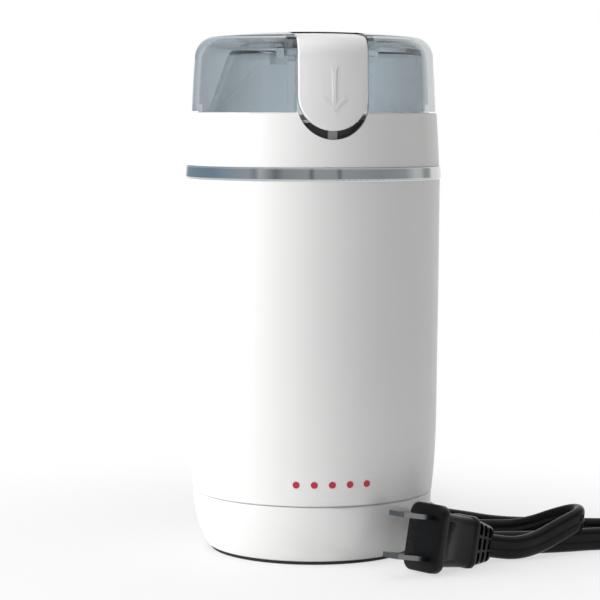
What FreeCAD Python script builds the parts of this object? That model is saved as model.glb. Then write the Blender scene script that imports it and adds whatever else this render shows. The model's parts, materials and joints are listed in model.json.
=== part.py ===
"""Electric spice grinder: white housing, chrome band, clear push-button lid, steel bowl and blade, flat mains cord.

Millimetres. +Z up, front (the push tongue) towards -Y, origin on the floor under the grinder's axis.
"""
import FreeCAD, Part
import math
import os

V = FreeCAD.Vector
UP = V(0, 0, 1)

# Driving dimensions, in millimetres
BAND_R = 41.0            # chrome band, the widest part
WALL = 2.4               # moulded plastic walls
SEAM_GAP = 0.5           # shadow line under the lid
BASE_SEAM = 0.3          # thinner one between the base cover and the body
BASE_LIFT = 1.2          # base cover above the floor, on its rubber ring
BASE_TOP = 19.1
SHELL_TOP = 119.5
BAND_TOP = 123.7
COLLAR_TOP = 140.5
LID_TOP = 166.1
TONGUE_W = 21.5          # push tongue on the lid
TONGUE_TIP = 134.9
TRAVEL = 2.4             # of the tongue and of the switch rod under it
BOWL_R = 32.8            # inside the bowl
BOWL_FLOOR = 94.0
SHAFT_R = 3.0
RUN = 0.04               # radial running clearance of the shaft
BLADE_REACH = 27.0
CORD_W = 7.4             # flat two-core cord, standing on its edge
CORD_T = 3.7
FIT = 0.3                # air between bodies that move past each other

# Places that follow from them
BASE_R = BAND_R - 2.3
SHELL_R = BAND_R - 0.3
COLLAR_IN = BAND_R - 3.6
LID_R = BAND_R - 1.9
LID_RIM = COLLAR_TOP + SEAM_GAP
CUP_WALL = 1.6
CUP_FOOT = V(0.5, -0.2, LID_RIM - 1.4)
CUP_FOOT_R = 34.8
CUP_BROW_R = 30.9
CUP_TOP = LID_TOP - 3.4
CUP_STEP = LID_TOP - 8.9
RIB = 2.2                # light strips of the lid beside the tongue
SLOT_BACK = -9.0         # end of the tongue's slot in the lid's top
TONGUE_TOP = LID_TOP - 0.4
SLEEVE_R = 35.1
HOUSING_FLOOR = BOWL_FLOOR - 1.1
STATOR_Z = (44.0, 66.0)
STATOR_R = 26.8
BORE_R = 13.2
ARMATURE_R = BORE_R - 0.7
BOLT_R = 24.0            # motor bolts, in front of and behind the shaft
LEG_R = 30.3
LEG_ANGLES = (45, 135, 225, 315)
COLLAR_SCREW_R = 36.3
BRACKET_Z = (22.0, 26.0)
SWITCH_TOP = 80.5
ROD_TOP = 137.0
INDICATOR_Z = 26.2
INDICATOR_STEP = 8.15    # degrees between neighbouring lamps
BOARD_Y = -32.4

os.makedirs("parts", exist_ok=True)
MADE = {}


def save(node, *solids):
    """Write one node, as one solid or as a group of separate ones."""
    shape = solids[0] if len(solids) == 1 else Part.makeCompound(list(solids))
    if not shape.isValid():
        print("INVALID", node)
    MADE[node] = shape
    shape.exportStep("parts/%s.step" % node)


def outline(start, *moves):
    """Closed wire in the (radius, height) plane. A move is an end point, or a (via, end) pair for an arc."""
    edges = []
    here = start
    for move in moves + (start,):
        curved = isinstance(move[0], tuple)
        end = move[1] if curved else move
        ends = V(here[0], 0, here[1]), V(end[0], 0, end[1])
        if curved:
            edges.append(Part.Arc(ends[0], V(move[0][0], 0, move[0][1]), ends[1]).toShape())
        elif (ends[1] - ends[0]).Length > 1e-6:
            edges.append(Part.makeLine(*ends))
        here = end
    return Part.Wire(edges)


def turned(start, *moves, angle=360):
    return Part.Face(outline(start, *moves)).revolve(V(), UP, angle)


def ring(r_in, r_out, z0, z1, x=0, y=0):
    solid = Part.makeCylinder(r_out, z1 - z0, V(x, y, z0))
    return solid.cut(Part.makeCylinder(r_in, z1 - z0 + 2, V(x, y, z0 - 1))) if r_in else solid


def block(x, y, z):
    """Box from three (low, high) pairs."""
    return Part.makeBox(x[1] - x[0], y[1] - y[0], z[1] - z[0], V(x[0], y[0], z[0]))


def sector(r_in, r_out, middle, half, z0, z1):
    """Part of a ring, half degrees to each side of the middle angle."""
    solid = turned((r_in, z0), (r_out, z0), (r_out, z1), (r_in, z1), angle=2 * half)
    solid.rotate(V(), UP, middle - half)
    return solid


def turned_about_z(solid, angle):
    copy = solid.copy()
    copy.rotate(V(), UP, angle)
    return copy


def around(solid, angles):
    return [turned_about_z(solid, angle) for angle in angles]


def evenly(count, first=0.0):
    return [first + 360.0 * k / count for k in range(count)]


def fuse(first, *others):
    return first.fuse(list(others)).removeSplitter()


def cut(first, *others):
    return first.cut(list(others))


def polygon_prism(points, y0, y1):
    """Prism along Y from (x, z) points."""
    corners = [V(x, y0, z) for x, z in points]
    wire = Part.makePolygon(corners + corners[:1])
    return Part.Face(wire).extrude(V(0, y1 - y0, 0))


def tongue_prism(half_width, tip_z, top_z, y0, y1):
    """Prism along Y with straight sides and a half-round lower end."""
    centre_z = tip_z + half_width
    left, right = V(-half_width, y0, centre_z), V(half_width, y0, centre_z)
    edges = [
        Part.Arc(left, V(0, y0, tip_z), right).toShape(),
        Part.makeLine(right, V(half_width, y0, top_z)),
        Part.makeLine(V(half_width, y0, top_z), V(-half_width, y0, top_z)),
        Part.makeLine(V(-half_width, y0, top_z), left),
    ]
    return Part.Face(Part.Wire(edges)).extrude(V(0, y1 - y0, 0))


def rounded(solid, radius, chosen):
    """Fillet the chosen edges, or keep the sharp solid where the fillet cannot be made."""
    edges = [edge for edge in solid.Edges if chosen(edge)]
    try:
        soft = solid.makeFillet(radius, edges)
    except Part.OCCError:
        print("no fillet of", radius)
        return solid
    return soft if soft.isValid() else solid


# Tubes along a path

def biarc(p0, t0, p1, t1):
    """Two arcs from p0 to p1 that leave along t0 and arrive along t1."""
    chord = p1 - p0
    total = t0 + t1
    spread = 2 * (1 - t0.dot(t1))
    along = chord.dot(total)
    reach = (math.sqrt(along ** 2 + spread * chord.dot(chord)) - along) / spread
    q0, q1 = p0 + t0 * reach, p1 - t1 * reach
    middle = (q0 + q1) * 0.5
    return [arc_by_corner(p0, q0, middle), arc_by_corner(middle, q1, p1)]


def arc_by_corner(start, corner, end):
    """The arc from start to end that is tangent to the lines to their corner."""
    base = (start + end) * 0.5
    rise = corner - base
    half = (end - start).Length / 2
    bow = half * math.tan(math.atan2(rise.Length, half) / 2)
    return Part.Arc(start, base + rise * (bow / rise.Length), end).toShape()


def spring(x, y, z0, z1, radius, wire, turns):
    """Round-wire compression spring along +Z."""
    steps = turns * 4
    rise = (z1 - z0 - wire) / steps

    def point(k):
        return V(x + radius * math.cos(k * math.pi / 2), y + radius * math.sin(k * math.pi / 2), z0 + wire / 2 + rise * k)

    def tangent(k):
        run = radius * math.pi / 2
        way = V(-run * math.sin(k * math.pi / 2), run * math.cos(k * math.pi / 2), rise)
        return way.normalize()

    edges = []
    for k in range(steps):
        edges += biarc(point(k), tangent(k), point(k + 1), tangent(k + 1))
    path = Part.Wire(edges)
    section = Part.Wire([Part.makeCircle(wire / 2, point(0), tangent(0))])
    print("spring gap between turns", round(4 * rise - wire, 2))
    return path.makePipeShell([section], True, False)


def route_wire(points):
    """Straight runs joined by tangent arcs, each as large as its two runs allow."""
    edges = []
    radii = []
    here = points[0]
    for before, corner, after in zip(points, points[1:], points[2:]):
        back, ahead = before - corner, after - corner
        half_turn = (math.pi - back.getAngle(ahead)) / 2
        trim = 0.45 * min(back.Length, ahead.Length)
        radii.append(trim / math.tan(half_turn))
        start, end = corner + back.normalize() * trim, corner + ahead.normalize() * trim
        edges.append(Part.makeLine(here, start))
        edges.append(arc_by_corner(start, corner, end))
        here = end
    edges.append(Part.makeLine(here, points[-1]))
    return Part.Wire(edges), radii


def flat_section(start, towards):
    """Stadium cord section at the start of a path, its long side upright."""
    ahead = (towards - start).normalize()
    side = UP.cross(ahead).normalize()
    tall = ahead.cross(side)
    r = CORD_T / 2
    straight = CORD_W / 2 - r

    def at(across, height):
        return start + side * across + tall * height

    return Part.Wire([
        Part.makeLine(at(r, -straight), at(r, straight)),
        Part.Arc(at(r, straight), at(0, straight + r), at(-r, straight)).toShape(),
        Part.makeLine(at(-r, straight), at(-r, -straight)),
        Part.Arc(at(-r, -straight), at(0, -straight - r), at(r, -straight)).toShape(),
    ])


# Housing shells

def shell_curve(inset, z0, z1):
    """The body shell's side line: tucked in at the foot, nearly straight above."""
    points = [(z0, SHELL_R - 1.85), (31.0, SHELL_R - 0.9), (55.0, SHELL_R - 0.4), (85.0, SHELL_R - 0.15), (z1, SHELL_R)]
    curve = Part.BSplineCurve()
    curve.interpolate([V(r - inset, 0, z) for z, r in points])
    return curve.toShape()


def make_body_shell():
    z0 = BASE_TOP + BASE_SEAM
    outer = shell_curve(0, z0, SHELL_TOP)
    inner = shell_curve(WALL - 0.2, z0, SHELL_TOP)
    low = Part.makeLine(inner.firstVertex().Point, outer.firstVertex().Point)
    high = Part.makeLine(outer.lastVertex().Point, inner.lastVertex().Point)
    shell = Part.Face(Part.Wire(Part.__sortEdges__([outer, high, inner, low]))).revolve(V(), UP, 360)
    hole = Part.makeCylinder(1.12, 12, V(0, -SHELL_R - 2, INDICATOR_Z), V(0, 1, 0))
    save("body_shell", cut(shell, *around(hole, indicator_angles())))


def indicator_angles():
    return [INDICATOR_STEP * k for k in range(-2, 3)]


def make_base_cover():
    lip = BASE_R - WALL
    cover = turned(
        (0, BASE_LIFT), (BASE_R - 4.9, BASE_LIFT), (BASE_R - 4.4, BASE_LIFT + 0.3),
        ((BASE_R - 1.35, 8.8), (BASE_R, BASE_TOP - 0.6)), ((BASE_R - 0.18, BASE_TOP - 0.18), (BASE_R - 0.6, BASE_TOP)),
        (lip, BASE_TOP), (lip, BASE_TOP + 4.4),
        (lip - 1.6, BASE_TOP + 4.4), (lip - 1.6, 11.0), ((lip - 2.6, 6.6), (lip - 5.5, 4.4)), (0, 4.4),
    )
    recess = ring(27.4, 33.3, 0, BASE_LIFT + 0.4)
    vents = [block((-9, 9), (y - 0.8, y + 0.8), (0, 6)) for y in (-12, -8, -4, 0, 4, 8, 12)]
    holes = around(Part.makeCylinder(1.45, 10, V(LEG_R, 0, 0)), LEG_ANGLES)
    heads = around(Part.makeCylinder(2.9, 3.0, V(LEG_R, 0, 0)), LEG_ANGLES)
    feet = around(Part.makeCylinder(3.25, 14, V(LEG_R, 0, 4.4)), LEG_ANGLES)
    bushing = [Part.makeCylinder(r, length, V(0, y, CORD_EXIT.z), V(0, 1, 0))
               for r, y, length in ((4.6, 28, 20), (6.6, 28, 6.3), (6.4, 37.5, 8))]
    posts = [block((x - 1.2, x + 1.2), (BOARD_Y + 1.5, BOARD_Y + 3.5), (4, 29)) for x in (-13, 13)]
    cover = fuse(cover, *posts)
    save("base_cover", cut(cover, recess, *bushing, *vents, *holes, *heads, *feet))


def make_foot_ring():
    save("foot_ring", turned((27.7, 0.3), (28.0, 0), (32.9, 0), (33.2, 0.3), (33.2, 1.6), (27.7, 1.6)))


def make_base_screws():
    screw = fuse(ring(0, 2.7, 1.7, 3.0, LEG_R), ring(0, 1.4, 3.0, 15.0, LEG_R))
    slots = [block((LEG_R - 1.6, LEG_R + 1.6), (-0.3, 0.3), (1, 2.4)), block((LEG_R - 0.3, LEG_R + 0.3), (-1.6, 1.6), (1, 2.4))]
    save("base_screws", *around(cut(screw, *slots), LEG_ANGLES))


def make_trim_ring():
    save("trim_ring", turned(
        (BAND_R - 2.5, SHELL_TOP), (SHELL_R, SHELL_TOP), (SHELL_R + 0.05, SHELL_TOP + 0.4),
        ((BAND_R + 0.02, SHELL_TOP + 0.5), (BAND_R + 0.07, SHELL_TOP + 0.8)), (BAND_R - 0.13, BAND_TOP - 0.4),
        ((BAND_R - 0.2, BAND_TOP - 0.1), (BAND_R - 0.45, BAND_TOP)), (BAND_R - 2.5, BAND_TOP),
    ))


def make_collar():
    top_r = LID_R + 0.45
    collar = turned(
        (COLLAR_IN, SHELL_TOP - 3), (BAND_R - 2.65, SHELL_TOP - 3), (BAND_R - 2.65, BAND_TOP), (BAND_R - 0.75, BAND_TOP),
        ((BAND_R - 0.58, BAND_TOP + 0.1), (BAND_R - 0.55, BAND_TOP + 0.35)),
        ((BAND_R - 0.97, 132.0), (top_r, COLLAR_TOP - 0.5)), ((top_r - 0.15, COLLAR_TOP - 0.15), (top_r - 0.5, COLLAR_TOP)),
        (COLLAR_IN, COLLAR_TOP),
    )
    lugs = [sector(SLEEVE_R + 0.3, COLLAR_IN + 0.3, angle, 5, SHELL_TOP - 3, SHELL_TOP - 0.2) for angle in LEG_ANGLES]
    notch = tongue_prism(TONGUE_W / 2 + 0.45, TONGUE_TIP - TRAVEL - 0.3, COLLAR_TOP + 5, -BAND_R - 5, -30)
    screw_holes = around(Part.makeCylinder(0.9, 3.2, V(COLLAR_SCREW_R, 0, SHELL_TOP - 4)), LEG_ANGLES)
    save("collar", cut(fuse(collar, *lugs), notch, *screw_holes))


def make_bowl_housing():
    """Inner frame: it holds the bowl, the upper bearing and the motor, and stands on the base."""
    frame = turned(
        (6.0, 79.0), (9.6, 79.0), (9.6, 88.0), (SLEEVE_R, 88.0), (SLEEVE_R, 113.0), (BAND_R - 3.0, 113.0),
        (BAND_R - 3.0, SHELL_TOP - 3.1), (SLEEVE_R, SHELL_TOP - 3.1), (SLEEVE_R, COLLAR_TOP - 3.1),
        (SLEEVE_R - 1.2, COLLAR_TOP - 3.1), (SLEEVE_R - 1.2, 107.0), ((29.72, 96.98), (19.7, HOUSING_FLOOR)),
        (5.1, HOUSING_FLOOR), (5.1, 88.5), (4.2, 88.5), (4.2, 87.0), (6.0, 87.0),
    )
    legs = around(ring(0, 3.2, 4.4, 88.5, LEG_R), LEG_ANGLES)
    posts = [ring(0, 4.0, STATOR_Z[1] + 1.5, 88.5, 0, s * BOLT_R) for s in (-1, 1)]
    switch_tab = block((-11.5, 11.5), (-29.6, -27.8), (STATOR_Z[1] + 3, 88.5))
    guides = [block((-3.4, 3.4), (-37.0, -34.5), (z, z + 3)) for z in (100.0, 126.0)]
    rod_way = block((-1.8, 1.8), (-BAND_R, -SLEEVE_R - 0.05), (95, 131))
    leg_holes = around(Part.makeCylinder(1.4, 12, V(LEG_R, 0, 4)), LEG_ANGLES)
    post_holes = [Part.makeCylinder(1.9, 14, V(0, s * BOLT_R, STATOR_Z[1])) for s in (-1, 1)]
    collar_holes = around(Part.makeCylinder(0.9, 8, V(COLLAR_SCREW_R, 0, 110)), LEG_ANGLES)
    counterbores = around(Part.makeCylinder(1.75, 3, V(COLLAR_SCREW_R, 0, 110)), LEG_ANGLES)
    frame = fuse(frame, *legs, *posts, switch_tab, *guides)
    save("bowl_housing", cut(frame, rod_way, *leg_holes, *post_holes, *collar_holes, *counterbores))


def make_collar_screws():
    screw = fuse(ring(0, 1.7, 111.4, 113.0, COLLAR_SCREW_R), ring(0, 0.9, 113.0, SHELL_TOP - 0.8, COLLAR_SCREW_R))
    save("collar_screws", *around(screw, LEG_ANGLES))


# Bowl and lid

def make_bowl():
    rim_z = COLLAR_TOP - 3.1
    out = BOWL_R + 0.9
    save("grinding_bowl", turned(
        (BOWL_R, rim_z + 0.9), (BOWL_R + 2.5, rim_z + 0.9), (BOWL_R + 2.5, rim_z), (out, rim_z), (out, 107.0),
        ((29.6, 97.1), (19.7, BOWL_FLOOR - 1)), (5.1, BOWL_FLOOR - 1), (5.1, BOWL_FLOOR), (19.7, BOWL_FLOOR),
        ((28.96, 97.74), (BOWL_R, 107.0)),
    ))


def make_shaft_seal():
    inner = SHAFT_R + 0.08
    save("shaft_seal", turned(
        (inner, 89.0), (5.1, 89.0), (5.1, BOWL_FLOOR), (7.5, BOWL_FLOOR), (6.8, BOWL_FLOOR + 1.4), (inner, BOWL_FLOOR + 1.4),
    ))


def lid_body(inset):
    """Solid of the lid's outer form, or of its hollow when inset by the wall."""
    top = LID_TOP - 0.7 * inset
    return turned(
        (0, LID_RIM), (LID_R - inset, LID_RIM), ((LID_R - 0.35 - inset, 149.5), (LID_R - 0.9 - inset, 157.4)),
        ((LID_R - 2.2 - 0.85 * inset, 161.9 - 0.5 * inset), (LID_R - 5.5 - 0.5 * inset, top - 1.8)),
        ((17.0, top - 0.35), (0, top)),
    )


def make_lid_shell():
    wall = 2.1
    hollow = lid_body(wall)
    skirt = ring(COLLAR_IN - 1.5, COLLAR_IN - FIT, COLLAR_TOP - 4.5, LID_RIM + 2)
    shell = fuse(cut(lid_body(0), hollow, ring(0, COLLAR_IN - 1.5, LID_RIM - 1, LID_RIM + 2)), skirt)
    slot_half = TONGUE_W / 2 + FIT
    side = (slot_half, slot_half + RIB)
    ribs = []
    for s in (-1, 1):
        x = tuple(sorted((s * side[0], s * side[1])))
        ribs.append(block(x, (-LID_R, 1.2 - CUP_FOOT_R), (LID_RIM, LID_TOP)))
        ribs.append(block(x, (-LID_R, SLOT_BACK + RIB), (CUP_STEP + 0.6, LID_TOP)))
    ribs.append(block((-side[1], side[1]), (SLOT_BACK, SLOT_BACK + RIB), (CUP_STEP + 0.6, LID_TOP)))
    shell = fuse(shell, *[rib.common(lid_body(1.0)) for rib in ribs])
    slot = block((-slot_half, slot_half), (-BAND_R, SLOT_BACK), (COLLAR_TOP - 6, LID_TOP + 1))
    shell = cut(shell, slot)
    save("lid_shell", max(shell.Solids, key=lambda solid: solid.Volume))


def cup_form(inset):
    """Leaning cone of the inner cup with a step under the tongue, or its hollow when inset."""
    top = CUP_TOP - inset
    brow_at = V(3.7, -0.6, top - 2.4)
    foot = Part.Wire([Part.makeCircle(CUP_FOOT_R - inset, CUP_FOOT)])
    brow = Part.Wire([Part.makeCircle(CUP_BROW_R - inset, brow_at)])
    cone = Part.makeLoft([foot, brow], True, True)
    cap = Part.makeCone(CUP_BROW_R - inset, CUP_BROW_R - 3.1 - inset, 2.4, brow_at)
    step_half = TONGUE_W / 2 + FIT + RIB + 0.1 + inset
    step = block((-step_half, step_half), (-BAND_R, SLOT_BACK + RIB + 0.1 + inset), (CUP_STEP - inset, LID_TOP))
    return cut(fuse(cone, cap), step)


def make_lid_cup():
    hollow = cup_form(CUP_WALL)
    mouth = Part.makeCylinder(CUP_FOOT_R - CUP_WALL, 0.6, CUP_FOOT - V(0, 0, 0.5))
    save("lid_inner_cup", cut(cup_form(0), hollow, mouth))


def make_lid_gasket():
    save("lid_gasket", ring(31.8, 34.6, COLLAR_TOP - 2.2, LID_RIM - 1.4))


def tongue_skin(lift):
    """Solid of revolution bounded by the tongue's outer face, raised by lift."""
    return turned(
        (0, 100), (BAND_R - 1.0 + lift, 100), (BAND_R - 1.0 + lift, TONGUE_TIP),
        ((BAND_R - 1.15 + lift, 146.0), (BAND_R - 1.75 + lift, 157.0)),
        ((BAND_R - 3.0 + lift * 0.8, 161.4), (BAND_R - 7.0 + lift * 0.5, TONGUE_TOP - 2.0 + lift)),
        ((19.0, TONGUE_TOP - 0.62 + lift), (0, TONGUE_TOP + lift)),
    )


def make_lid_button():
    thick = 2.4
    bar_z = CUP_STEP + TRAVEL + 0.8
    front = tongue_prism(TONGUE_W / 2, TONGUE_TIP, LID_TOP + 3, -BAND_R - 2, SLOT_BACK - FIT)
    core = turned(
        (0, 100), (BAND_R - 1.0 - thick, 100), (BAND_R - 1.0 - thick, TONGUE_TIP), (BAND_R - 1.6 - thick, 157.0),
        ((BAND_R - 2.2 - thick, 160.5), (BAND_R - 5.0 - thick, bar_z)), (0, bar_z),
    )
    button = cut(tongue_skin(0).common(front), core)
    tab = block((-3, 3), (-38.2, -35.7), (ROD_TOP + 0.15, 144.0))
    seat = Part.makeCylinder(3.4, 2.6, V(0, -20, bar_z - 1))
    button = cut(fuse(button, tab), seat)

    def rim_edge(edge):
        box = edge.BoundBox
        upright = abs(abs(box.Center.x) - TONGUE_W / 2) < 0.05 and box.XLength < 0.1
        outside = box.YMin < -BAND_R + 3.6 or box.ZMin > TONGUE_TOP - 3.0
        return upright and outside and box.YMax < -9 and (box.ZLength > 3 or box.YLength > 3)
    button = rounded(button, 0.5, rim_edge)
    arrow = [
        polygon_prism([(-0.5, 142.4), (0.5, 142.4), (0.5, 154.0), (-0.5, 154.0)], -BAND_R - 2, -34),
        polygon_prism([(-1.0, 153.6), (1.0, 153.6), (1.0, 154.4), (-1.0, 154.4)], -BAND_R - 2, -34),
        polygon_prism([(0, 141.0), (3.9, 144.4), (3.2, 145.1), (0, 142.4), (-3.2, 145.1), (-3.9, 144.4)], -BAND_R - 2, -34),
    ]
    raised = fuse(*arrow).common(cut(tongue_skin(0.22), tongue_skin(-0.5)))
    save("lid_button", fuse(button, raised))


def make_button_spring():
    save("button_spring", spring(0, -20, CUP_STEP + 0.1, CUP_STEP + TRAVEL + 2.3, 2.4, 0.55, 3))


# Motor and shaft

def make_shaft():
    save("drive_shaft", Part.makeCylinder(SHAFT_R, 83, V(0, 0, 20)))


def make_bearings():
    bore = SHAFT_R + RUN
    save("upper_bearing", ring(bore, 6.0, 79.5, 87.0))
    save("lower_bearing", ring(bore, 6.0, 21.0, 27.0))


def make_blade():
    hub = ring(SHAFT_R, 6.0, 99.0, 100.6)
    wings = []
    for s in (1, -1):
        wing = Part.Face(Part.makePolygon([
            V(s * 5.3, -5.0, 99.0), V(s * 12.0, -5.0, 99.0), V(s * (BLADE_REACH - 1.0), -3.0, 99.0),
            V(s * BLADE_REACH, 1.0, 99.0), V(s * (BLADE_REACH - 3.0), 4.2, 99.0), V(s * 12.0, 5.0, 99.0),
            V(s * 5.3, 5.0, 99.0), V(s * 5.3, -5.0, 99.0)])).extrude(V(0, 0, 1.6))
        wing.rotate(V(s * 5.3, 0, 99.0), V(0, 1, 0), -s * 9)
        wings.append(wing)
    save("blade", cut(fuse(hub, *wings), ring(0, SHAFT_R, 90, 110)))


def make_blade_spacer():
    save("blade_spacer", turned((SHAFT_R, 96.0), (4.6, 96.0), (5.6, 98.0), (5.6, 99.0), (SHAFT_R, 99.0)))


def make_blade_nut():
    hexagon = Part.makePolygon([V(5.2 * math.cos(a), 5.2 * math.sin(a), 100.6) for a in
                                [math.radians(angle) for angle in evenly(6) + [0]]])
    nut = Part.Face(hexagon).extrude(V(0, 0, 4))
    dome = turned((0, 104.6), (4.4, 104.6), ((3.1, 107.0), (0, 108.0)))
    save("blade_nut", cut(fuse(nut, dome), Part.makeCylinder(SHAFT_R, 2.4, V(0, 0, 100.6))))


def make_armature():
    slots = around(block((8.6, ARMATURE_R + 2), (-1.2, 1.2), (STATOR_Z[0] - 1, STATOR_Z[1] + 1)), evenly(12))
    save("armature_core", cut(ring(SHAFT_R, ARMATURE_R, *STATOR_Z), *slots))
    bars = around(block((8.6, 11.6), (-1.1, 1.1), (STATOR_Z[0] - 2, STATOR_Z[1] + 2)), evenly(12))
    ends = [turned((4.5, z), (11.6, z), ((12.0, z + s * 2.6), (9.0, z + s * 5.2)), (4.5, z + s * 5.2))
            for z, s in ((STATOR_Z[0], -1), (STATOR_Z[1], 1))]
    save("armature_windings", fuse(*ends, *bars))


def make_commutator():
    slits = around(block((7.2, 9), (-0.25, 0.25), (26, 40)), evenly(12, 15))
    save("commutator", cut(ring(SHAFT_R, 8.0, 28.0, 37.5), *slits))


def make_fan():
    disc = fuse(ring(SHAFT_R, 6.0, 72.0, 77.0), ring(5.5, 19.4, 76.0, 77.0))
    blades = around(block((5.5, 19.2), (-0.6, 0.6), (72.6, 76.5)), evenly(11))
    save("cooling_fan", fuse(disc, *blades))


def make_stator():
    core = ring(BORE_R, STATOR_R, *STATOR_Z)
    gaps = [sector(BORE_R + 3.3, STATOR_R - 5.8, middle, 57, STATOR_Z[0] - 1, STATOR_Z[1] + 1) for middle in (90, 270)]
    bolts = [Part.makeCylinder(1.9, 40, V(0, s * BOLT_R, 35)) for s in (-1, 1)]
    save("stator_core", cut(core, *gaps, *bolts))
    coils = []
    for middle in (0, 180):
        outer = sector(BORE_R + 3.6, STATOR_R - 7.2, middle, 54, STATOR_Z[0] - 4.5, STATOR_Z[1] + 4.5)
        inner = sector(BORE_R, STATOR_R, middle, 34, STATOR_Z[0] - 0.2, STATOR_Z[1] + 0.2)
        coils.append(cut(outer, inner))
    save("field_coils", *coils)


def make_lower_bracket():
    """Cross bar under the motor, with the lower bearing's boss and two posts up to the stator."""
    bar = block((-6, 6), (-BOLT_R - 3, BOLT_R + 3), BRACKET_Z)
    wing = block((-24.5, 24.5), (-6, 6), BRACKET_Z)
    boss = ring(0, 8.5, 20.0, 27.0)
    posts = [ring(0, 4.2, BRACKET_Z[0], STATOR_Z[0], 0, s * BOLT_R) for s in (-1, 1)]
    pads = [block(tuple(sorted((s * 14, s * 24))), (-4.5, 4.5), (BRACKET_Z[1] - 0.5, 28.8)) for s in (-1, 1)]
    holes = [Part.makeCylinder(1.9, 30, V(0, s * BOLT_R, 18)) for s in (-1, 1)]
    body = fuse(bar, wing, boss, *posts, *pads)
    save("lower_bracket", cut(body, Part.makeCylinder(6.0, 6.1, V(0, 0, 21.0)), ring(0, 4.0, 15, 40), *holes))


def make_motor_bolts():
    bolts = []
    for s in (-1, 1):
        at = 0, s * BOLT_R
        bolts.append(fuse(ring(0, 1.9, BRACKET_Z[0], 79.0, *at), ring(0, 3.6, 19.0, BRACKET_Z[0], *at)))
    save("motor_bolts", *bolts)


def make_motor_mounts():
    z = STATOR_Z[1]
    save("motor_mounts", *[ring(1.9, 4.4, z, z + 1.5, 0, s * BOLT_R) for s in (-1, 1)])


def make_brushes():
    z = 32.0
    brushes = []
    holders = []
    springs = []
    for s in (-1, 1):
        def span(a, b):
            return tuple(sorted((s * a, s * b)))
        brushes.append(block(span(8.25, 15.0), (-2.2, 2.2), (z - 1.8, z + 1.8)))
        case = block(span(11.0, 23.0), (-3.6, 3.6), (z - 3.2, z + 3.2))
        holders.append(cut(case, block(span(10, 22), (-2.2, 2.2), (z - 1.8, z + 1.8))))
        coil = spring(0, 0, 15.0, 22.0, 1.3, 0.4, 4)
        coil.rotate(V(), V(0, 1, 0), 90 * s)
        coil.translate(V(0, 0, z))
        springs.append(coil)
    save("brushes", *brushes)
    save("brush_holders", *holders)
    save("brush_springs", *springs)


# Switch, lamps and wiring

def make_switch():
    body = block((-10, 10), (-36.0, -29.6), (SWITCH_TOP - 10, SWITCH_TOP))
    well = block((-1.5, 1.5), (-34.3, -31.7), (SWITCH_TOP - 4.2, SWITCH_TOP + 1))
    holes = [Part.makeCylinder(1.4, 10, V(x, -38, SWITCH_TOP - 5), V(0, 1, 0)) for x in (-7, 7)]
    save("lid_switch", cut(body, well, *holes))
    tabs = [block((x - 1.6, x + 1.6), (-33.2, -32.4), (SWITCH_TOP - 16, SWITCH_TOP - 10)) for x in (-7.5, 0, 7.5)]
    save("switch_terminals", *tabs)
    save("switch_plunger", block((-1.1, 1.1), (-33.9, -32.1), (SWITCH_TOP - 1.6, SWITCH_TOP + 2.5)))


def make_push_rod():
    blade = block((-1.4, 1.4), (-37.0, -35.5), (SWITCH_TOP + 2.5, ROD_TOP))
    foot = block((-1.4, 1.4), (-37.0, -31.9), (SWITCH_TOP + 2.5, SWITCH_TOP + 4.5))
    save("switch_rod", fuse(blade, foot))


def make_lamps():
    lenses = []
    for angle in indicator_angles():
        inner = -BOARD_Y / math.cos(math.radians(angle)) + 0.4
        lens = Part.makeCylinder(1.05, SHELL_R - 1.18 - inner, V(0, -inner, INDICATOR_Z), V(0, -1, 0))
        lenses.append(turned_about_z(lens, angle))
    save("indicator_lenses", *lenses)
    save("indicator_board", block((-15, 15), (BOARD_Y, BOARD_Y + 1.5), (24.0, 29.5)))


def make_wiring():
    save("thermal_fuse", Part.makeCylinder(1.9, 11, V(-20, 12, 36), V(1, 0, 0)))
    leads = []
    for side in (-1, 1):
        points = [V(side * x, y, z) for x, y, z in (
            (2.2, 31.0, 11.0), (8, 26, 9), (17.5, 16.5, 9), (27, 4, 13), (31, -9, 24), (32.5, -15, 34),
            (25.2, -25.2, 44), (15, -32, 53), (7.5, -32.8, 58), (7.5, -32.8, SWITCH_TOP - 16))]
        path = route_wire(points)[0]
        ahead = points[1] - points[0]
        section = Part.Wire([Part.makeCircle(0.9, points[0], ahead)])
        leads.append(path.makePipeShell([section], True, False))
    save("internal_leads", *leads)


# Cord, as a plan of points in millimetres from the boot to inside the plug

CORD_EXIT = V(0, 60.0, 11.0)
PLUG_FACE = V(26.5, -49.3, 11.2)
PLUG_YAW = 34.3          # degrees from +X to the way the cord leaves the plug
PLUG_NOSE_UP = 11.5
PLUG_LENGTH = 28.3
PLUG_RIDGE = (16.8, 19.1) # raised rib between the plug's grip and its flexible tail
PRONG_Z = (-6.35, 6.35)
PRONG_T = 1.5
PRONG_REACH = 14.4


def make_strain_relief():
    boot = turned((0, 0), (6.4, 0), (6.4, 2.2), (4.6, 2.2), (4.6, 5.6), (6.2, 5.6), (6.2, 7.4), (5.2, 8.4), (4.4, 28.0), (0, 28.0))
    grooves = [cut(ring(3.9, 8, z, z + 1.2), block((-9, 9), (-1.2, 1.2), (z - 1, z + 3))) for z in (11, 14, 17, 20, 23)]
    boot = cut(boot, *grooves)
    boot.rotate(V(), V(1, 0, 0), -90)
    boot.translate(CORD_EXIT - V(0, 28.0, 0))
    save("strain_relief", boot)


def plug_place(shape):
    """From the plug's own frame (blades towards +X, face at the origin) to where it lies."""
    shape = shape.copy()
    shape.rotate(V(), V(0, 1, 0), -PLUG_NOSE_UP)
    shape.rotate(V(), UP, 180 + PLUG_YAW)
    shape.translate(PLUG_FACE)
    return shape


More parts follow.
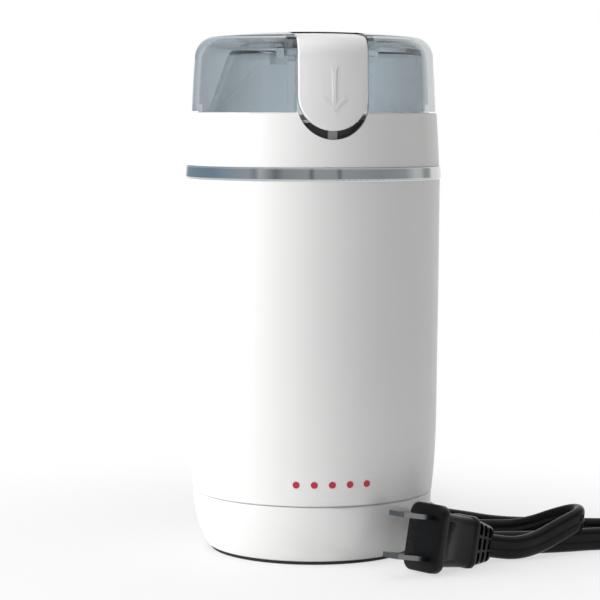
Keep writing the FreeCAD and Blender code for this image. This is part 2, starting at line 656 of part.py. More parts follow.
def plug_section(x, width, height, corner):
    """Rounded or chamfered rectangle across the plug at x behind its face."""
    w, h = width / 2, height / 2
    points = [(w - corner, -h), (w, corner - h), (w, h - corner), (w - corner, h),
              (corner - w, h), (-w, h - corner), (-w, corner - h), (corner - w, -h)]
    corners = [V(-x, y, z) for y, z in points]
    return Part.makePolygon(corners + corners[:1])


def make_plug():
    stations = [
        [(0, 13.6, 20.2, 3.2), (0.8, 14.4, 21.0, 3.2)],
        [(0.8, 14.4, 21.0, 3.2), (3.4, 14.4, 21.0, 3.2)],
        [(3.4, 12.4, 17.0, 2.4), (PLUG_RIDGE[0], 11.6, 15.6, 2.2)],
        [(PLUG_RIDGE[0], 12.4, 16.2, 2.6), (PLUG_RIDGE[1], 12.0, 15.8, 2.6)],
        [(PLUG_RIDGE[1], 10.4, 13.6, 2.2), (PLUG_LENGTH, 7.0, 10.6, 1.8)],
    ]
    body = fuse(*[Part.makeLoft([plug_section(*end) for end in pair], True, True) for pair in stations])
    cuts = []
    for row in range(3):
        x = -PLUG_RIDGE[1] - 0.9 - 2.7 * row
        for column in (-1, 0, 1):
            for side in (-1, 1):
                z = column * (4.1 - 0.4 * row)
                slot = block((x - 1.4, x), tuple(sorted((side * (3.9 - 0.4 * row), side * 8))), (z - 1.5, z + 1.5))
                cuts.append(slot)
    sockets = [block((-8, 1), (-3.2, 3.2), (z - PRONG_T / 2, z + PRONG_T / 2)) for z in PRONG_Z]
    save("plug_body", plug_place(cut(body, *cuts, *sockets)))
    blades = []
    for z in PRONG_Z:
        corners = [V(x, y, z - PRONG_T / 2) for x, y in (
            (-8, -3.2), (PRONG_REACH - 1.3, -3.2), (PRONG_REACH, -1.9), (PRONG_REACH, 1.9), (PRONG_REACH - 1.3, 3.2),
            (-8, 3.2), (-8, -3.2))]
        prong = Part.Face(Part.makePolygon(corners)).extrude(V(0, 0, PRONG_T))
        hole = Part.makeCylinder(1.6, 4, V(PRONG_REACH - 3.8, 0, z - 2))
        blades.append(plug_place(cut(prong, hole)))
    save("plug_blades", *blades)


CORD_FLOOR = CORD_W / 2 + 0.05
CORD_ROUTE = [V(*point) for point in (
    CORD_EXIT, (0, 73.5, 9.8), (5, 85.5, 6), (15.5, 92, CORD_FLOOR), (27, 91.5, CORD_FLOOR),
    (38.5, 92, CORD_FLOOR), (46, 96, CORD_FLOOR), (48, 104.5, CORD_FLOOR), (41.5, 111.5, CORD_FLOOR),
    (30, 114.5, CORD_FLOOR), (17.5, 114.5, CORD_FLOOR), (5, 115, CORD_FLOOR), (-6.5, 118, CORD_FLOOR),
    (-14, 125.5, CORD_FLOOR), (-12.5, 136, CORD_FLOOR), (-2.5, 141.5, CORD_FLOOR),
    (10.5, 142, CORD_FLOOR), (24.5, 139.5, CORD_FLOOR), (38, 136, CORD_FLOOR), (49, 128.5, CORD_FLOOR),
    (55, 117.5, CORD_FLOOR), (55, 105.5, CORD_FLOOR), (53.5, 93, CORD_FLOOR), (52.5, 80.5, CORD_FLOOR),
    (50.5, 66, CORD_FLOOR), (48, 53, CORD_FLOOR), (44.5, 40, CORD_FLOOR), (45.5, 28, CORD_FLOOR),
    (48, 17.5, CORD_FLOOR), (54.5, 11, CORD_FLOOR), (59.5, 4, CORD_FLOOR), (66, -0.5, CORD_FLOOR),
    (74.5, -2.5, CORD_FLOOR), (83.5, -3.5, CORD_FLOOR), (91.5, -7, CORD_FLOOR), (100.5, -7.5, CORD_FLOOR),
    (111, -5.5, CORD_FLOOR), (120.5, -9.5, CORD_FLOOR), (123.5, -19, CORD_FLOOR), (117.5, -27, CORD_FLOOR),
    (106.5, -28, CORD_FLOOR), (96.5, -23.5, CORD_FLOOR), (89, -22.5, CORD_FLOOR), (79.5, -24.5, CORD_FLOOR),
    (68.5, -25.5, CORD_FLOOR), (57, -25, CORD_FLOOR), (46.5, -23, CORD_FLOOR), (41, -16.5, CORD_FLOOR),
    (42.5, -8, CORD_FLOOR), (49.5, -3.5, CORD_FLOOR), (58, -4.5, CORD_FLOOR), (66, -6, CORD_FLOOR),
    (72.5, -9, 5.6), (78, -14, 8.8), (83.5, -19.5, 11.4), (83, -26.5, 11.4), (76, -29, 8.6),
    (68.5, -30.5, 5), (60.5, -34, CORD_FLOOR), (53, -34.5, 4.5), (46.5, -36, 6.1),
)]


def make_cord():
    path, radii = route_wire(CORD_ROUTE)
    print("cord radii", [round(radius, 1) for radius in radii])
    section = flat_section(CORD_ROUTE[0], CORD_ROUTE[1])
    area = CORD_T * (CORD_W - CORD_T) + math.pi * (CORD_T / 2) ** 2
    sweep = Part.BRepOffsetAPI.MakePipeShell(path)
    sweep.setBiNormalMode(UP)
    sweep.add(section, False, False)
    sweep.build()
    sweep.makeSolid()
    tube = sweep.shape()
    print("cord length", round(path.Length, 1), "volume", round(tube.Volume), "section x length", round(area * path.Length))
    save("cord", tube)


for make in (
    make_base_cover, make_foot_ring, make_base_screws, make_body_shell, make_trim_ring, make_collar,
    make_bowl_housing, make_collar_screws, make_bowl, make_shaft_seal, make_lid_shell, make_lid_cup,
    make_lid_gasket, make_lid_button, make_button_spring, make_shaft, make_bearings, make_blade,
    make_blade_spacer, make_blade_nut, make_armature, make_commutator, make_fan, make_stator,
    make_lower_bracket, make_motor_bolts, make_motor_mounts, make_brushes, make_switch, make_push_rod,
    make_lamps, make_wiring, make_strain_relief, make_plug, make_cord,
):
    make()
for name, shape in MADE.items():
    box = shape.BoundBox
    print("%-18s %2d solids %9.1f mm3  x %6.1f %6.1f  y %6.1f %6.1f  z %6.1f %6.1f" % (
        name, len(shape.Solids), shape.Volume, box.XMin, box.XMax, box.YMin, box.YMax, box.ZMin, box.ZMax))
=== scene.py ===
"""Electric spice grinder, dressed: finishes, mains cord, plug and tongue spring around the fixed frame.

Metres, +Z up, front (the push tongue) towards -Y, origin on the floor under the grinder's axis.
"""
import json
import math

import bmesh
import bpy
from mathutils import Matrix, Vector


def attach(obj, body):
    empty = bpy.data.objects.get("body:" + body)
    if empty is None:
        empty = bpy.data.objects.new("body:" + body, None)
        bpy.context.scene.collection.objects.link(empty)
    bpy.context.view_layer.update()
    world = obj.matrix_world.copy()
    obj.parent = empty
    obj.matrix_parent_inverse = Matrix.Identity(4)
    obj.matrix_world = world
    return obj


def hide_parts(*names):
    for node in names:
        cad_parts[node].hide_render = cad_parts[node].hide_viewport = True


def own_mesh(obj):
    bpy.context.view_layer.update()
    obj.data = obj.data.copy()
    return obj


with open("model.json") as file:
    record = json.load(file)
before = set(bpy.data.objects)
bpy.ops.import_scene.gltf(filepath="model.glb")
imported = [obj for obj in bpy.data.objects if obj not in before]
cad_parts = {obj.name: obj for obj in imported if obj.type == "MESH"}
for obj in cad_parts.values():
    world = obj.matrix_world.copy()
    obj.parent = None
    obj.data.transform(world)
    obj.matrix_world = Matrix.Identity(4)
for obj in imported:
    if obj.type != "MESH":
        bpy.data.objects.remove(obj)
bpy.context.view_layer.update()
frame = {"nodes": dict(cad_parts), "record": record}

MM = 0.001
NODES = frame["nodes"]
SCENE = bpy.context.scene

# The photograph's view: a long lens, almost level, a little to the left of the front
FRAME_PX = 600
FOCAL_PX = 2102
SENSOR_MM = 36.0
VIEW_AZIMUTH = math.radians(-8.7)
VIEW_DOWN = math.radians(4.872)
VIEW_ROLL = math.radians(0.184)
VIEW_BACK = 0.679
VIEW_ASIDE = -0.0042
VIEW_HEIGHT = 0.13795

VIEW_RIGHT = Vector((math.cos(VIEW_AZIMUTH), math.sin(VIEW_AZIMUTH), 0))
VIEW_AHEAD = Vector((-math.sin(VIEW_AZIMUTH), math.cos(VIEW_AZIMUTH), 0))


def make_camera():
    data = bpy.data.cameras.new("view")
    data.sensor_width = SENSOR_MM
    data.lens = FOCAL_PX / FRAME_PX * SENSOR_MM
    data.clip_start = 0.05
    camera = bpy.data.objects.new("view", data)
    SCENE.collection.objects.link(camera)
    turn = Matrix.Rotation(VIEW_AZIMUTH, 4, "Z") @ Matrix.Rotation(math.pi / 2 - VIEW_DOWN, 4, "X")
    place = VIEW_RIGHT * VIEW_ASIDE - VIEW_AHEAD * VIEW_BACK + Vector((0, 0, VIEW_HEIGHT))
    camera.matrix_world = Matrix.Translation(place) @ turn @ Matrix.Rotation(VIEW_ROLL, 4, "Z")
    SCENE.camera = camera


# Finishes

def new_finish(name, colour, roughness, metallic=0.0):
    """A material with its shader's plain values set; returns the material and its shader."""
    finish = bpy.data.materials.new(name)
    finish.use_nodes = True
    shader = finish.node_tree.nodes["Principled BSDF"]
    shader.inputs["Base Color"].default_value = (*colour, 1)
    shader.inputs["Roughness"].default_value = roughness
    shader.inputs["Metallic"].default_value = metallic
    return finish, shader


def add_node(finish, kind, **inputs):
    node = finish.node_tree.nodes.new(kind)
    for name, value in inputs.items():
        node.inputs[name.replace("_", " ")].default_value = value
    return node


def noise(finish, size, detail=2.0, stretch=(1, 1, 1)):
    """Noise whose features are about size metres across, in the object's own coordinates."""
    places = add_node(finish, "ShaderNodeTexCoord")
    mapping = add_node(finish, "ShaderNodeMapping", Scale=stretch)
    texture = add_node(finish, "ShaderNodeTexNoise", Scale=1 / size, Detail=detail)
    link = finish.node_tree.links.new
    link(places.outputs["Object"], mapping.inputs["Vector"])
    link(mapping.outputs["Vector"], texture.inputs["Vector"])
    return texture.outputs["Fac"]


def add_bump(finish, shader, height, distance, strength=1.0):
    bump = add_node(finish, "ShaderNodeBump", Distance=distance, Strength=strength)
    finish.node_tree.links.new(height, bump.inputs["Height"])
    finish.node_tree.links.new(bump.outputs["Normal"], shader.inputs["Normal"])


def vary(finish, shader, socket, value, low, high):
    """Spread a texture value over a shader number."""
    spread = add_node(finish, "ShaderNodeMapRange", To_Min=low, To_Max=high)
    finish.node_tree.links.new(value, spread.inputs["Value"])
    finish.node_tree.links.new(spread.outputs["Result"], shader.inputs[socket])


def tint(finish, shader, value, dark, pale):
    """Spread a texture value between two colours."""
    mix = add_node(finish, "ShaderNodeMix")
    mix.data_type = "RGBA"
    mix.inputs[6].default_value = (*dark, 1)
    mix.inputs[7].default_value = (*pale, 1)
    finish.node_tree.links.new(value, mix.inputs[0])
    finish.node_tree.links.new(mix.outputs[2], shader.inputs["Base Color"])


def white_plastic():
    finish, shader = new_finish("white_plastic", (0.86, 0.86, 0.85), 0.32)
    shader.inputs["IOR"].default_value = 1.5
    fine = noise(finish, 0.9 * MM)
    add_bump(finish, shader, fine, 0.004 * MM, 0.5)
    vary(finish, shader, "Roughness", noise(finish, 14 * MM), 0.28, 0.36)
    return finish


def chrome():
    finish, shader = new_finish("chrome", (0.55, 0.57, 0.59), 0.06, 1.0)
    vary(finish, shader, "Roughness", noise(finish, 5 * MM), 0.04, 0.10)
    return finish


def clear_plastic(name="clear_plastic", colour=(0.93, 0.95, 0.955), edge=(0.12, 0.14, 0.15), breadth=0.14):
    """Clear plastic that is darker where it is seen edge on, through more of it."""
    finish, shader = new_finish(name, colour, 0.02)
    slant = add_node(finish, "ShaderNodeLayerWeight", Blend=breadth)
    tint(finish, shader, slant.outputs["Facing"], colour, edge)
    shader.inputs["IOR"].default_value = 1.49
    shader.inputs["Transmission Weight"].default_value = 1.0
    add_bump(finish, shader, noise(finish, 18 * MM), 0.05 * MM, 0.3)
    return finish


def smoky_plastic():
    return clear_plastic("smoky_plastic", (0.665, 0.71, 0.74), (0.03, 0.04, 0.045), 0.19)


def black_plastic():
    finish, shader = new_finish("black_plastic", (0.13, 0.13, 0.132), 0.38)
    shader.inputs["Specular IOR Level"].default_value = 0.3
    add_bump(finish, shader, noise(finish, 0.5 * MM), 0.01 * MM)
    vary(finish, shader, "Roughness", noise(finish, 6 * MM), 0.32, 0.45)
    return finish


def steel():
    finish, shader = new_finish("steel", (0.62, 0.62, 0.61), 0.25, 1.0)
    rings = noise(finish, 0.6 * MM, 3.0, (0.02, 0.02, 1))
    vary(finish, shader, "Roughness", rings, 0.16, 0.34)
    add_bump(finish, shader, rings, 0.004 * MM)
    return finish


def rubber():
    finish, shader = new_finish("rubber", (0.022, 0.022, 0.023), 0.75)
    add_bump(finish, shader, noise(finish, 0.4 * MM), 0.02 * MM)
    return finish


def silicone():
    finish, shader = new_finish("silicone", (0.62, 0.63, 0.62), 0.45)
    shader.inputs["Subsurface Weight"].default_value = 0.2
    shader.inputs["Subsurface Radius"].default_value = (0.002, 0.002, 0.002)
    add_bump(finish, shader, noise(finish, 0.8 * MM), 0.01 * MM)
    return finish


def bronze():
    finish, shader = new_finish("bronze", (0.48, 0.30, 0.14), 0.4, 1.0)
    vary(finish, shader, "Roughness", noise(finish, 0.7 * MM), 0.3, 0.5)
    return finish


def copper():
    finish, shader = new_finish("copper", (0.56, 0.20, 0.08), 0.35, 0.8)
    strands = noise(finish, 0.5 * MM, 1.0, (1, 1, 0.1))
    add_bump(finish, shader, strands, 0.15 * MM)
    tint(finish, shader, strands, (0.40, 0.13, 0.05), (0.62, 0.25, 0.10))
    return finish


def laminations():
    finish, shader = new_finish("laminations", (0.24, 0.24, 0.25), 0.45, 0.9)
    sheets = noise(finish, 0.5 * MM, 0.0, (0.001, 0.001, 1))
    add_bump(finish, shader, sheets, 0.08 * MM)
    tint(finish, shader, sheets, (0.13, 0.13, 0.14), (0.32, 0.32, 0.33))
    return finish


def carbon():
    finish, shader = new_finish("carbon", (0.03, 0.03, 0.032), 0.6)
    add_bump(finish, shader, noise(finish, 0.3 * MM), 0.02 * MM)
    return finish


def brass():
    finish, shader = new_finish("brass", (0.70, 0.52, 0.24), 0.3, 1.0)
    vary(finish, shader, "Roughness", noise(finish, 2 * MM), 0.22, 0.4)
    return finish


def plated_brass():
    finish, shader = new_finish("plated_brass", (0.2, 0.2, 0.2), 0.24, 1.0)
    drawn = noise(finish, 0.25 * MM, 2.0, (0.1, 1, 1))
    vary(finish, shader, "Roughness", drawn, 0.14, 0.3)
    return finish


def red_lens():
    finish, shader = new_finish("red_lens", (0.40, 0.010, 0.034), 0.22)
    # Painted glow: a faint emission makes the lenses shine as if lit, though no lamp lights them
    shader.inputs["Emission Color"].default_value = (0.5, 0.01, 0.04, 1)
    shader.inputs["Emission Strength"].default_value = 0.2
    vary(finish, shader, "Roughness", noise(finish, 0.5 * MM), 0.16, 0.3)
    return finish


def circuit_board():
    finish, shader = new_finish("circuit_board", (0.03, 0.16, 0.06), 0.4)
    tint(finish, shader, noise(finish, 1.5 * MM), (0.02, 0.12, 0.05), (0.05, 0.2, 0.08))
    return finish


def cord_vinyl():
    finish, shader = new_finish("cord_vinyl", (0.0035, 0.0035, 0.0036), 0.34)
    shader.inputs["Specular IOR Level"].default_value = 0.2
    add_bump(finish, shader, noise(finish, 2.5 * MM), 0.02 * MM)
    vary(finish, shader, "Roughness", noise(finish, 9 * MM), 0.22, 0.32)
    return finish


def grey_plastic():
    finish, shader = new_finish("grey_plastic", (0.42, 0.43, 0.43), 0.45)
    add_bump(finish, shader, noise(finish, 0.7 * MM), 0.01 * MM)
    return finish


FINISHES = {make.__name__: make() for make in (
    white_plastic, chrome, clear_plastic, smoky_plastic, black_plastic, steel, rubber, silicone, bronze,
    copper, laminations, carbon, brass, plated_brass, red_lens, circuit_board, cord_vinyl, grey_plastic,
)}


def dress(piece, finish):
    """Give a piece its finish, by name."""
    if not piece.material_slots:
        piece.data.materials.append(None)
    for place in piece.material_slots:
        place.link = "OBJECT"
        place.material = FINISHES[finish]


def dress_frame():
    for part in frame["record"]["subparts"]:
        dress(NODES[part["node"]], part["material_slot"])
    dress(NODES["lid_shell"], "smoky_plastic")


# Mains cord: the route's points, from the boot to inside the plug

CORD_W = 0.0074
CORD_T = 0.0037
GROOVE_DEEP = 0.00016
GROOVE_WIDE = 0.0007
FLAT_STEPS = 6
ROUND_STEPS = 8
CORD_EXIT = (0, 0.06, 0.011)
CORD_REST = 0.00375
CORD_ROUTE = (
    CORD_EXIT, (0, 0.0735, 0.0098), (0.005, 0.0855, 0.006), (0.0155, 0.092, CORD_REST),
    (0.027, 0.0915, CORD_REST), (0.0385, 0.092, CORD_REST), (0.046, 0.096, CORD_REST),
    (0.048, 0.1045, CORD_REST), (0.0415, 0.1115, CORD_REST), (0.03, 0.1145, CORD_REST),
    (0.0175, 0.1145, CORD_REST), (0.005, 0.115, CORD_REST), (-0.0065, 0.118, CORD_REST),
    (-0.014, 0.1255, CORD_REST), (-0.0125, 0.136, CORD_REST), (-0.0025, 0.1415, CORD_REST),
    (0.0105, 0.142, CORD_REST), (0.0245, 0.1395, CORD_REST), (0.038, 0.136, CORD_REST),
    (0.049, 0.1285, CORD_REST), (0.055, 0.1175, CORD_REST), (0.055, 0.1055, CORD_REST),
    (0.0535, 0.093, CORD_REST), (0.0525, 0.0805, CORD_REST), (0.0505, 0.066, CORD_REST),
    (0.048, 0.053, CORD_REST), (0.0445, 0.04, CORD_REST), (0.0455, 0.028, CORD_REST),
    (0.048, 0.0175, CORD_REST), (0.0545, 0.011, CORD_REST), (0.0595, 0.004, CORD_REST),
    (0.066, -0.0005, CORD_REST), (0.0745, -0.0025, CORD_REST), (0.0835, -0.0035, CORD_REST),
    (0.0915, -0.007, CORD_REST), (0.1005, -0.0075, CORD_REST), (0.111, -0.0055, CORD_REST),
    (0.1205, -0.0095, CORD_REST), (0.1235, -0.019, CORD_REST), (0.1175, -0.027, CORD_REST),
    (0.1065, -0.028, CORD_REST), (0.0965, -0.0235, CORD_REST), (0.089, -0.0225, CORD_REST),
    (0.0795, -0.0245, CORD_REST), (0.0685, -0.0255, CORD_REST), (0.057, -0.025, CORD_REST),
    (0.0465, -0.023, CORD_REST), (0.041, -0.0165, CORD_REST), (0.0425, -0.008, CORD_REST),
    (0.0495, -0.0035, CORD_REST), (0.058, -0.0045, CORD_REST), (0.066, -0.006, CORD_REST),
    (0.0725, -0.009, 0.0056), (0.078, -0.014, 0.0088), (0.0835, -0.0195, 0.0114),
    (0.083, -0.0265, 0.0114), (0.076, -0.029, 0.0086), (0.0685, -0.0305, 0.005),
    (0.0605, -0.034, CORD_REST), (0.053, -0.0345, 0.0045), (0.0465, -0.036, 0.0061),
)


def open_spline(curve, points):
    """One smooth open curve that starts at the first point, ends at the last and is drawn to the others."""
    spline = curve.splines.new("NURBS")
    spline.points.add(len(points) - 1)
    for place, point in zip(spline.points, points):
        place.co = (*point, 1)
    spline.order_u = 3
    spline.use_endpoint_u = True
    spline.resolution_u = 10
    return spline


def cord_profile():
    """Flat two-core section: round edges and a shallow groove down the middle of each side."""
    profile = bpy.data.curves.new("cord_profile", "CURVE")
    spline = profile.splines.new("POLY")
    radius = CORD_T / 2
    straight = CORD_W / 2 - radius
    outline = []
    for side in (1, -1):
        for step in range(-FLAT_STEPS, FLAT_STEPS + 1):
            up = straight * step / FLAT_STEPS
            depth = GROOVE_DEEP * math.exp(-(up / GROOVE_WIDE) ** 2)
            outline.append((side * (radius - depth), side * up))
        for step in range(1, ROUND_STEPS):
            angle = math.pi * step / ROUND_STEPS
            outline.append((side * radius * math.cos(angle), side * (straight + radius * math.sin(angle))))
    spline.points.add(len(outline) - 1)
    for place, (across, up) in zip(spline.points, outline):
        place.co = (across, up, 0, 1)
    spline.use_cyclic_u = True
    return bpy.data.objects.new("cord_profile", profile)


def make_cord(plug):
    curve = bpy.data.curves.new("mains_cord", "CURVE")
    curve.dimensions = "3D"
    curve.twist_mode = "Z_UP"
    curve.bevel_mode = "OBJECT"
    curve.bevel_object = cord_profile()
    curve.use_fill_caps = True
    open_spline(curve, CORD_ROUTE)
    cord = bpy.data.objects.new("mains_cord", curve)
    SCENE.collection.objects.link(cord)
    dress(cord, "cord_vinyl")
    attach(cord, "housing")
    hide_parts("cord")


# Plug, in its own frame: prongs towards +X, its face at the origin

PLUG_FACE = Vector((0.0265, -0.0493, 0.0112))
PLUG_YAW = math.radians(34.3)
PLUG_NOSE_UP = math.radians(11.5)
PRONG_Z = 0.00635
PRONG_SIZE = (0.0064, 0.0015)
PRONG_SEAT = 0.008
# Millimetres behind the face, and the plug's width, height and corner radius there
PLUG_STATIONS = (
    (0.0, 13.2, 19.8, 2.9), (0.2, 13.9, 20.5, 3.1), (0.6, 14.4, 21.0, 3.2), (2.9, 14.4, 21.0, 3.2),
    (3.25, 14.1, 20.7, 3.1), (3.45, 13.0, 18.4, 2.9), (3.7, 12.4, 17.1, 2.9), (10.0, 12.0, 16.3, 2.7),
    (16.3, 11.6, 15.6, 2.6), (16.7, 11.8, 15.8, 2.6), (17.0, 12.4, 16.3, 2.9), (17.5, 12.6, 16.5, 3.0),
    (18.5, 12.6, 16.5, 3.0), (18.9, 12.2, 16.1, 2.9), (19.15, 10.9, 15.3, 2.6), (19.5, 10.4, 14.9, 2.5),
    (24.0, 8.8, 13.1, 2.3), (27.8, 7.4, 11.4, 2.1), (28.2, 7.0, 11.0, 2.0), (28.3, 6.4, 10.4, 1.8),
)
# Slots of the flexible tail in millimetres; a pair is the front row's value and its change per row
PLUG_SLOT_START = 20.1
PLUG_SLOT_STEP = 2.7
PLUG_SLOT_LENGTH = 1.5
PLUG_SLOT_HALF = (1.85, -0.15)
PLUG_SLOT_SPACING = (4.6, -0.45)
PLUG_SLOT_FLOOR = (3.7, -0.5)
PLUG_BEYOND_SIDE = 8


def corner_ring(width, height, radius, steps=5):
    """Points around a rounded rectangle."""
    ring = []
    for quarter in range(4):
        side = (1, -1, -1, 1)[quarter], (1, 1, -1, -1)[quarter]
        centre = side[0] * (width / 2 - radius), side[1] * (height / 2 - radius)
        for step in range(steps + 1):
            angle = math.pi / 2 * (quarter + step / steps)
            ring.append((centre[0] + radius * math.cos(angle), centre[1] + radius * math.sin(angle)))
    return ring


def plug_loft(form):
    rings = []
    for back, width, height, radius in PLUG_STATIONS:
        places = corner_ring(width, height, radius)
        rings.append([form.verts.new((-back * MM, across * MM, up * MM)) for across, up in places])
    for first, second in zip(rings, rings[1:]):
        for k, vertex in enumerate(first):
            after = (k + 1) % len(first)
            form.faces.new((vertex, first[after], second[after], second[k]))
    form.faces.new(reversed(rings[0]))
    form.faces.new(rings[-1])


def box_into(form, low, high):
    made = bmesh.ops.create_cube(form, size=1)["verts"]
    centre = (Vector(low) + Vector(high)) / 2
    size = Vector(high) - Vector(low)
    for vertex in made:
        vertex.co = Vector(a * b for a, b in zip(vertex.co, size)) + centre


def in_row(start_and_change, row):
    start, change = start_and_change
    return start + change * row


def plug_hollows(form):
    """Slots of the flexible tail on both of its broad sides, and the prongs' two seats."""
    past = 1 * MM
    for row in range(3):
        back = PLUG_SLOT_START + PLUG_SLOT_STEP * row
        half = in_row(PLUG_SLOT_HALF, row)
        for column in (-1, 0, 1):
            up = column * in_row(PLUG_SLOT_SPACING, row)
            for side in (-1, 1):
                deep = side * in_row(PLUG_SLOT_FLOOR, row), side * PLUG_BEYOND_SIDE
                low = -(back + PLUG_SLOT_LENGTH), min(deep), up - half
                high = -back, max(deep), up + half
                box_into(form, Vector(low) * MM, Vector(high) * MM)
    wide, thick = PRONG_SIZE
    for z in (-PRONG_Z, PRONG_Z):
        box_into(form, (-PRONG_SEAT, -wide / 2, z - thick / 2), (past, wide / 2, z + thick / 2))


def mesh_piece(name, fill):
    """New object whose mesh is drawn by fill, with its faces turned outwards."""
    form = bmesh.new()
    fill(form)
    bmesh.ops.recalc_face_normals(form, faces=form.faces)
    mesh = bpy.data.meshes.new(name)
    form.to_mesh(mesh)
    form.free()
    piece = bpy.data.objects.new(name, mesh)
    SCENE.collection.objects.link(piece)
    return piece


def make_plug():
    body = mesh_piece("plug_grip", plug_loft)
    hollows = mesh_piece("plug_hollows", plug_hollows)
    carve = body.modifiers.new("carve", "BOOLEAN")
    carve.operation = "DIFFERENCE"
    carve.solver = "EXACT"
    carve.object = hollows
    carved = bpy.data.meshes.new_from_object(body.evaluated_get(bpy.context.evaluated_depsgraph_get()))
    body.modifiers.clear()
    body.data = carved
    bpy.data.objects.remove(hollows)
    turn = Matrix.Rotation(math.pi + PLUG_YAW, 4, "Z") @ Matrix.Rotation(-PLUG_NOSE_UP, 4, "Y")
    carved.transform(Matrix.Translation(PLUG_FACE) @ turn)
    carved.shade_smooth()
    carved.set_sharp_from_angle(angle=math.radians(50))
    dress(body, "cord_vinyl")
    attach(body, "housing")
    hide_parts("plug_body")
    return body


# Return spring under the tongue; the real one shortens as the tongue goes down, this coil keeps its length

SPRING_FOOT = (0, -0.02, 0.1573)
SPRING_LENGTH = 0.0046
SPRING_R = 0.0024
SPRING_WIRE = 0.00055
SPRING_TURNS = 3
STEPS_PER_TURN = 24


def make_button_spring():
    curve = bpy.data.curves.new("spring_line", "CURVE")
    curve.dimensions = "3D"
    curve.bevel_depth = SPRING_WIRE / 2
    curve.bevel_resolution = 3
    curve.use_fill_caps = True
    steps = STEPS_PER_TURN * SPRING_TURNS
    line = curve.splines.new("POLY")
    line.points.add(steps)
    for k, place in enumerate(line.points):
        angle = 2 * math.pi * SPRING_TURNS * k / steps
        up = SPRING_WIRE / 2 + (SPRING_LENGTH - SPRING_WIRE) * k / steps
        offset = Vector((SPRING_R * math.cos(angle), SPRING_R * math.sin(angle), up))
        place.co = (*(Vector(SPRING_FOOT) + offset), 1)
    wire = bpy.data.objects.new("spring_line", curve)
    spring = bpy.data.objects.new("tongue_spring", bpy.data.meshes.new_from_object(wire))
    bpy.data.objects.remove(wire)
    SCENE.collection.objects.link(spring)
    dress(spring, "steel")
    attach(spring, "lid")
    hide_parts("button_spring")
    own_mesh(spring)


# Studio

def towards(angle):
    """Level direction from the object, in degrees to the right of the way back to the camera."""
    turn = math.radians(angle)
    return VIEW_RIGHT * math.sin(turn) - VIEW_AHEAD * math.cos(turn)


def add_softbox(name, angle, distance, height, size, power, aim=0.07, beam=180):
    """A soft lamp that nothing mirrors, aimed at the object's axis; the beam is in degrees."""
    data = bpy.data.lights.new(name, "AREA")
    data.shape = "RECTANGLE"
    data.size, data.size_y = size
    data.energy = power
    data.spread = math.radians(beam)
    lamp = bpy.data.objects.new(name, data)
    SCENE.collection.objects.link(lamp)
    place = towards(angle) * distance + Vector((0, 0, height))
    look = Vector((0, 0, aim)) - place
    lamp.matrix_world = Matrix.Translation(place) @ look.to_track_quat("-Z", "Y").to_matrix().to_4x4()
    lamp.visible_glossy = False
    lamp.visible_camera = False
    lamp.visible_transmission = False


def make_lights():
    add_softbox("key", -72, 1.1, 0.40, (0.9, 1.1), 14.3)
    add_softbox("top", -40, 0.3, 1.2, (1.2, 1.2), 6)
    add_softbox("fill", 58, 0.55, 0.02, (0.4, 0.03), 0.01, aim=0.006, beam=14)


# What shiny surfaces mirror around the object: degrees to the right of the camera, and the colour there
ROOM = (
    (-180, (0.95, 0.95, 0.95)), (-166, (0.55, 0.62, 0.68)), (-156, (0.26, 0.36, 0.43)),
    (-104, (0.25, 0.35, 0.42)), (-84, (0.34, 0.43, 0.50)), (-60, (0.46, 0.48, 0.50)),
    (-54, (0.30, 0.31, 0.33)), (-49, (0.62, 0.64, 0.66)), (-42, (0.42, 0.44, 0.46)),
    (-34, (0.22, 0.23, 0.24)), (-26, (0.38, 0.39, 0.40)), (-5, (0.44, 0.44, 0.44)),
    (-2, (0.16, 0.16, 0.17)), (1, (0.46, 0.46, 0.46)), (20, (0.43, 0.44, 0.44)),
    (23, (0.17, 0.17, 0.18)), (26, (0.44, 0.45, 0.45)), (34, (0.42, 0.43, 0.43)),
    (62, (0.36, 0.37, 0.38)), (90, (0.42, 0.42, 0.42)), (104, (0.72, 0.72, 0.70)),
    (112, (0.70, 0.70, 0.68)), (119, (0.40, 0.41, 0.39)), (127, (0.44, 0.44, 0.42)),
    (133, (1.0, 1.0, 0.96)), (180, (0.95, 0.95, 0.95)),
)
AMBIENT = (0.21, 0.21, 0.214)
WHITE = (1.0, 1.0, 1.0)
OVERHEAD = (0.6, 0.92)   # heights of the directions between which the mirrored room turns white


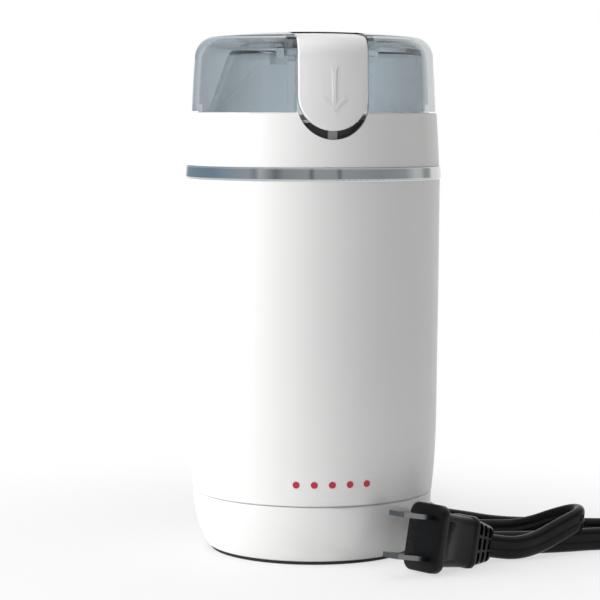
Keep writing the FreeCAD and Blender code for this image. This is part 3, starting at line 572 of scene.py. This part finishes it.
def make_world():
    """White behind the object, a greyer room around it for what it mirrors, and even light."""
    world = bpy.data.worlds.new("studio")
    world.use_nodes = True
    SCENE.world = world
    nodes, link = world.node_tree.nodes, world.node_tree.links.new

    def dot(vector):
        product = nodes.new("ShaderNodeVectorMath")
        product.operation = "DOT_PRODUCT"
        product.inputs[1].default_value = vector
        link(way.outputs["Generated"], product.inputs[0])
        return product.outputs["Value"]

    def mix(factor, first, second):
        blend = nodes.new("ShaderNodeMix")
        blend.data_type = "RGBA"
        link(factor, blend.inputs[0])
        for socket, colour in ((blend.inputs[6], first), (blend.inputs[7], second)):
            if isinstance(colour, tuple):
                socket.default_value = (*colour, 1)
            else:
                link(colour, socket)
        return blend.outputs[2]

    way = nodes.new("ShaderNodeTexCoord")
    angle = nodes.new("ShaderNodeMath")
    angle.operation = "ARCTAN2"
    link(dot(VIEW_RIGHT), angle.inputs[0])
    link(dot(-VIEW_AHEAD), angle.inputs[1])
    spread = nodes.new("ShaderNodeMapRange")
    spread.inputs["From Min"].default_value = -math.pi
    spread.inputs["From Max"].default_value = math.pi
    link(angle.outputs[0], spread.inputs["Value"])
    ramp = nodes.new("ShaderNodeValToRGB")
    stops = ramp.color_ramp.elements
    while len(stops) < len(ROOM):
        stops.new(0.5)
    for stop, (degrees, colour) in zip(stops, ROOM):
        stop.position = (degrees + 180) / 360
        stop.color = (*colour, 1)
    link(spread.outputs["Result"], ramp.inputs["Fac"])
    high = nodes.new("ShaderNodeMapRange")
    high.inputs["From Min"].default_value, high.inputs["From Max"].default_value = OVERHEAD
    link(dot((0, 0, 1)), high.inputs["Value"])
    mirrored = mix(high.outputs["Result"], ramp.outputs["Color"], WHITE)
    rays = nodes.new("ShaderNodeLightPath")
    room = mix(rays.outputs["Is Glossy Ray"], AMBIENT, mirrored)
    seen = nodes.new("ShaderNodeMath")
    seen.operation = "MAXIMUM"
    link(rays.outputs["Is Camera Ray"], seen.inputs[0])
    link(rays.outputs["Is Transmission Ray"], seen.inputs[1])
    link(mix(seen.outputs[0], room, WHITE), nodes["Background"].inputs["Color"])


FLOOR_SPAN = 6.0
FLOOR_NEAR = 0.05
FLOOR_FAR = 0.20
FLOOR_GLOW = 0.62        # share of the plain white already at the object's foot


def make_floor():
    """A pale floor that keeps the object's shadow and fades into the white background."""
    mesh = bpy.data.meshes.new("floor")
    corners = [(x * FLOOR_SPAN, y * FLOOR_SPAN, 0) for x, y in ((-1, -1), (1, -1), (1, 1), (-1, 1))]
    mesh.from_pydata(corners, [], [(0, 1, 2, 3)])
    floor = bpy.data.objects.new("floor", mesh)
    SCENE.collection.objects.link(floor)
    finish, shader = new_finish("floor", (0.9, 0.9, 0.9), 0.6)
    mesh.materials.append(finish)
    nodes, link = finish.node_tree.nodes, finish.node_tree.links.new
    places = nodes.new("ShaderNodeTexCoord")
    reach = nodes.new("ShaderNodeVectorMath")
    reach.operation = "LENGTH"
    link(places.outputs["Object"], reach.inputs[0])
    fade = nodes.new("ShaderNodeMapRange")
    fade.interpolation_type = "SMOOTHSTEP"
    fade.inputs["From Min"].default_value = FLOOR_NEAR
    fade.inputs["From Max"].default_value = FLOOR_FAR
    fade.inputs["To Min"].default_value = FLOOR_GLOW
    link(reach.outputs["Value"], fade.inputs["Value"])
    rays = nodes.new("ShaderNodeLightPath")
    seen = nodes.new("ShaderNodeMath")
    seen.operation = "SUBTRACT"
    seen.inputs[0].default_value = 1
    link(rays.outputs["Is Diffuse Ray"], seen.inputs[1])
    share = nodes.new("ShaderNodeMath")
    share.operation = "MULTIPLY"
    link(fade.outputs["Result"], share.inputs[0])
    link(seen.outputs[0], share.inputs[1])
    white = nodes.new("ShaderNodeEmission")
    blend = nodes.new("ShaderNodeMixShader")
    link(share.outputs[0], blend.inputs[0])
    link(shader.outputs[0], blend.inputs[1])
    link(white.outputs[0], blend.inputs[2])
    link(blend.outputs[0], nodes["Material Output"].inputs["Surface"])


make_camera()
dress_frame()
make_cord(make_plug())
make_button_spring()
make_lights()
make_world()
make_floor()

SCENE.view_settings.view_transform = "Standard"
